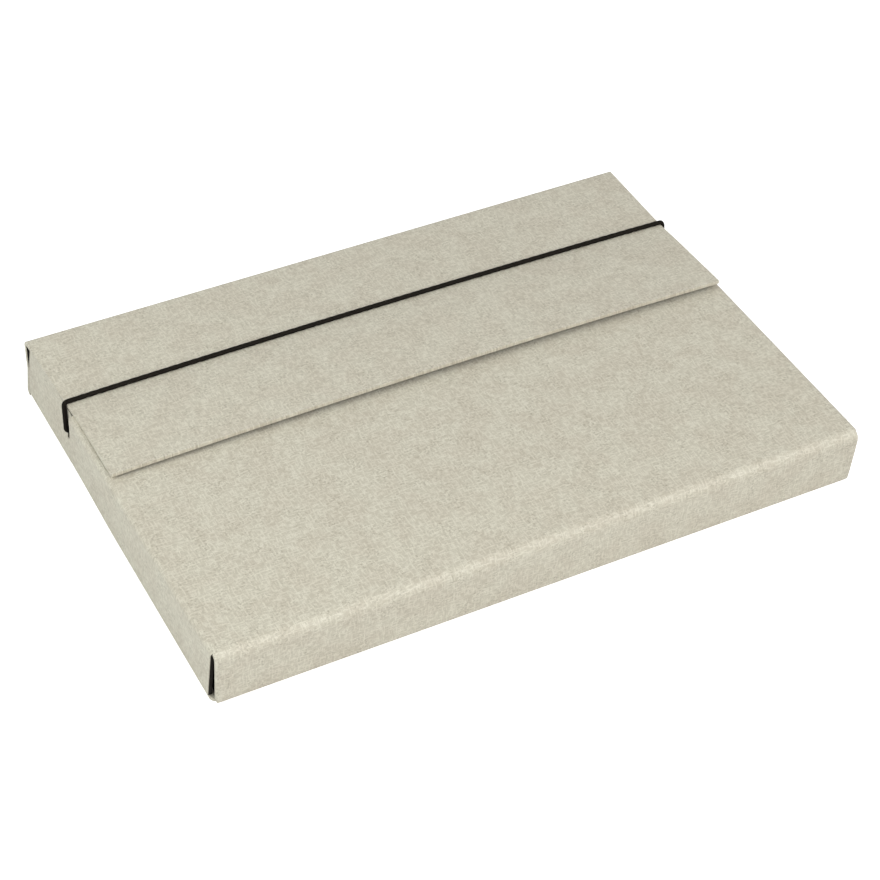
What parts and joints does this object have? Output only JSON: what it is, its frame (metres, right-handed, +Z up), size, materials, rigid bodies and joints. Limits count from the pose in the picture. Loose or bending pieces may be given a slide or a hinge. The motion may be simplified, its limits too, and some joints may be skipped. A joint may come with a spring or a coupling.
{
  "type": "document box",
  "caption": "Flat A4 box of creased board with a linen-look cover: hinged front and lid, hanging side flaps, a closing flap and a round elastic.",
  "frame": {"origin": "centre of the box's underside", "axes": "+X along the long side, +Y towards the rear wall that carries the closing flap, +Z up"},
  "size_m": [0.3218, 0.2274, 0.0361],
  "materials": {
    "cover_paper": "matte linen-look",
    "lining_paper": "matte black",
    "board": "dyed dark, cut edges show it",
    "elastic": "braided",
    "bar_steel": "satin"
  },
  "bodies": {
    "tray": {"base_board": "board", "base_cover": "cover_paper", "base_lining": "lining_paper", "corner_tab_left": "board", "corner_tab_right": "board", "elastic_bar_left": "bar_steel", "elastic_bar_right": "bar_steel", "rear_side_board_left": "board", "rear_side_board_right": "board", "rear_side_cover_left": "cover_paper", "rear_side_cover_right": "cover_paper", "rear_side_lining_left": "lining_paper", "rear_side_lining_right": "lining_paper", "rear_wall_board": "board", "rear_wall_cover": "cover_paper", "rear_wall_lining": "lining_paper", "front_foot_crease": "cover_paper", "flap_hinge_crease": "cover_paper"},
    "flap": {"flap_board": "board", "flap_cover": "cover_paper", "flap_lining": "lining_paper"},
    "lid": {"front_wall_board": "board", "front_bend_board": "board", "lid_board": "board", "lid_cover": "cover_paper", "lid_lining": "lining_paper", "side_crease_left": "cover_paper", "side_crease_right": "cover_paper"},
    "side_flap_left": {"side_flap_board_left": "board", "side_flap_cover_left": "cover_paper", "side_flap_lining_left": "lining_paper"},
    "side_flap_right": {"side_flap_board_right": "board", "side_flap_cover_right": "cover_paper", "side_flap_lining_right": "lining_paper"},
    "elastic": {"elastic_cord": "elastic"}
  },
  "joints": [
    {"name": "flap_fold", "type": "hinge", "parent": "tray", "child": "flap", "pos_m": [0, 0.1125, 0.032], "axis": [-1, 0, 0], "range_deg": [0, 190], "deforming": ["flap_hinge_crease", "elastic_cord"]},
    {"name": "lid_fold", "type": "hinge", "parent": "tray", "child": "lid", "pos_m": [0, -0.11168, 0.00065], "axis": [1, 0, 0], "range_deg": [0, 90], "deforming": ["front_foot_crease"]},
    {"name": "side_fold_left", "type": "hinge", "parent": "lid", "child": "side_flap_left", "pos_m": [-0.15927, 0, 0.03127], "axis": [0, 1, 0], "range_deg": [-1.5, 88], "stiffness_Nm_per_rad": 0.004, "deforming": ["side_crease_left"]},
    {"name": "side_fold_right", "type": "hinge", "parent": "lid", "child": "side_flap_right", "pos_m": [0.15927, 0, 0.03127], "axis": [0, -1, 0], "range_deg": [-1.5, 88], "stiffness_Nm_per_rad": 0.004, "deforming": ["side_crease_right"]},
    {"name": "elastic_pull", "type": "slide", "parent": "tray", "child": "elastic", "axis": [0, 0.9994, -0.0349], "range_m": [0, 0.056], "stiffness_N_per_m": 60, "deforming": ["elastic_cord"]}
  ],
  "couplings": [
    {"joint": "lid_fold", "follows": "flap_fold", "ratio": 0.47}
  ]
}
